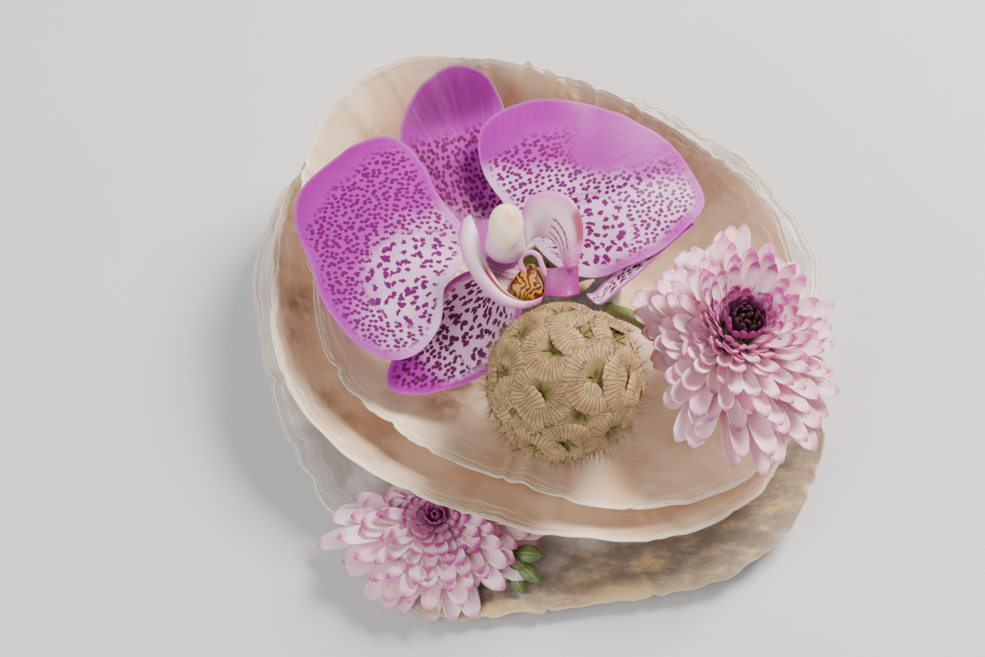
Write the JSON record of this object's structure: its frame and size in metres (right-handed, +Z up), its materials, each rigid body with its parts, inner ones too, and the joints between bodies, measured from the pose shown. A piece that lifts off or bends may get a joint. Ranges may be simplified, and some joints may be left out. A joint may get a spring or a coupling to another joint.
{
  "type": "shell flower arrangement with pierced frog",
  "caption": "Stacked windowpane oyster shells with a hidden pierced flower frog holding an orchid, a papery seed pod and a chrysanthemum, with a second chrysanthemum tucked at the front.",
  "frame": {"origin": "on the flat underside of the base shell, under the middle of that shell's plan outline", "axes": "+Z up; -Y towards the front, where the second chrysanthemum lies; +X to the viewer's right"},
  "size_m": [0.1444, 0.1395, 0.0626],
  "materials": {
    "base_nacre": "satin",
    "middle_nacre": "satin",
    "top_nacre": "satin",
    "clear_glue": "gloss",
    "frog_glaze": "gloss",
    "putty": "matte",
    "orchid_petal": "satin",
    "orchid_sepal": "satin",
    "orchid_column": "satin",
    "orchid_cap": "satin",
    "orchid_lip": "satin",
    "orchid_callus": "satin",
    "green_stem": "satin",
    "pod_core": "matte",
    "pod_paper": "matte",
    "pod_bristle": "matte",
    "mum_pale": "satin",
    "mum_pink": "satin",
    "mum_magenta": "satin",
    "mum_eye": "matte",
    "calyx_green": "matte",
    "leaf_green": "satin",
    "moss": "matte"
  },
  "bodies": {
    "shell_stand": {"base_shell": "base_nacre", "middle_shell": "middle_nacre", "top_shell": "top_nacre", "lower_glue_dabs": "clear_glue", "upper_glue_dabs": "clear_glue", "front_glue_dab": "clear_glue", "frog_block": "frog_glaze", "frog_putty": "putty", "front_mum_outer_petals": "mum_pale", "front_mum_middle_petals": "mum_pink", "front_mum_inner_petals": "mum_magenta", "front_mum_eye": "mum_eye", "front_mum_calyx": "calyx_green", "front_leaf_sprig": "leaf_green", "moss_tuft": "moss"},
    "orchid": {"orchid_dorsal_sepal": "orchid_sepal", "orchid_left_petal": "orchid_petal", "orchid_right_petal": "orchid_petal", "orchid_left_sepal": "orchid_sepal", "orchid_right_sepal": "orchid_sepal", "orchid_column": "orchid_column", "orchid_anther_cap": "orchid_cap", "orchid_lip_left_lobe": "orchid_lip", "orchid_lip_right_lobe": "orchid_lip", "orchid_lip_middle_lobe": "orchid_lip", "orchid_callus": "orchid_callus", "orchid_pedicel": "green_stem"},
    "seed_pod": {"pod_core": "pod_core", "pod_cups": "pod_paper", "pod_bristles": "pod_bristle", "pod_stem": "green_stem"},
    "right_mum": {"right_mum_outer_petals": "mum_pale", "right_mum_middle_petals": "mum_pink", "right_mum_inner_petals": "mum_magenta", "right_mum_eye": "mum_eye", "right_mum_calyx": "calyx_green", "right_mum_stem": "green_stem"}
  },
  "joints": [
    {"name": "orchid_lift", "type": "slide", "parent": "shell_stand", "child": "orchid", "axis": [-0.1595, 0.2791, 0.9469], "range_m": [0, 0.035]},
    {"name": "seed_pod_lift", "type": "slide", "parent": "shell_stand", "child": "seed_pod", "axis": [-0.02, -0.7689, 0.6391], "range_m": [0, 0.035]},
    {"name": "right_mum_lift", "type": "slide", "parent": "shell_stand", "child": "right_mum", "axis": [0.6414, -0.4209, 0.6414], "range_m": [0, 0.035]}
  ]
}
